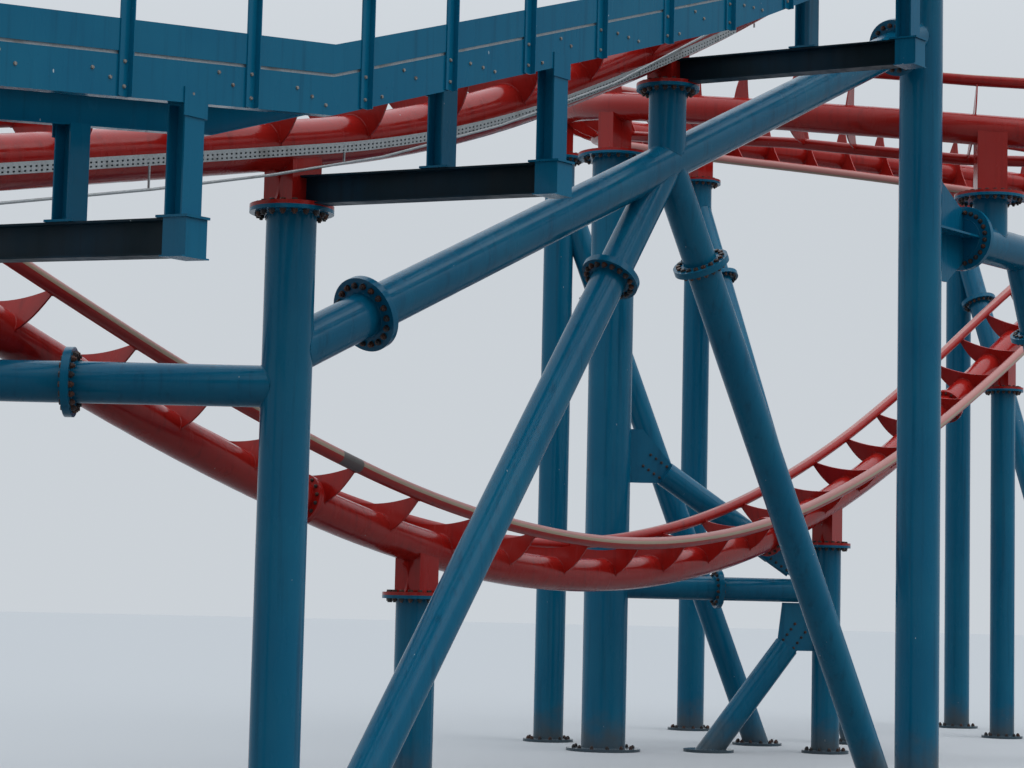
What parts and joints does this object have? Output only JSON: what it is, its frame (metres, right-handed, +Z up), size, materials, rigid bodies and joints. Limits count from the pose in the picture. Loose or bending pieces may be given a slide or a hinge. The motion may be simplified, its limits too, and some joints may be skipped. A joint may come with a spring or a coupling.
{
  "type": "roller coaster track section on tubular supports",
  "caption": "Section of tubular steel coaster track: a dip, a climbing lane with walkway and a banked turn, on flanged pipe supports.",
  "frame": {"origin": "middle of column A's anchor bolt circle, on the ground", "axes": "+X along the front frame from column A to column C, +Z up, +Y towards the dip and the turn behind"},
  "size_m": [34.9053, 13.4255, 14.6383],
  "materials": {
    "blue": "semi-gloss blue paint, weathered",
    "dark_blue": "semi-gloss dark blue paint",
    "red": "gloss red paint, weathered",
    "rail": "red paint worn to a beige stripe by wheels",
    "zinc": "galvanised steel"
  },
  "bodies": {
    "root": {"column_a": "blue", "column_c": "blue", "column_k": "blue", "tie_tube_end": "blue", "tie_tube": "blue", "tie_tube_top_end": "blue", "stub_b": "blue", "near_leg": "blue", "far_leg": "blue", "cross_tube": "blue", "column_g": "blue", "column_h": "blue", "column_i": "blue", "column_d": "blue", "column_e": "blue", "column_f": "blue", "stringer_outer": "blue", "stringer_inner": "blue", "handrail": "blue", "column_j": "blue", "turn_braces": "blue", "gusset_c": "blue", "right_tube": "blue", "right_stub": "blue", "right_leg": "blue", "bay_tube": "blue", "bay_gussets": "blue", "bay_braces": "blue", "outrigger_struts": "blue", "outriggers": "dark_blue", "dip_spine_1": "red", "dip_spine_2": "red", "dip_spine_3": "red", "dip_spine_4": "red", "dip_ties_1": "red", "dip_ties_2": "red", "dip_ties_3": "red", "dip_ties_4": "red", "dip_saddles": "red", "lane_spine": "red", "lane_ties": "red", "lane_saddles": "red", "turn_spine": "red", "turn_ties": "red", "turn_saddles": "red", "dip_rails_1": "rail", "dip_rails_2": "rail", "dip_rails_3": "rail", "dip_rails_4": "rail", "lane_rails": "rail", "turn_rails": "rail", "walkway_deck": "zinc", "cable_tray": "zinc"}
  },
  "joints": []
}
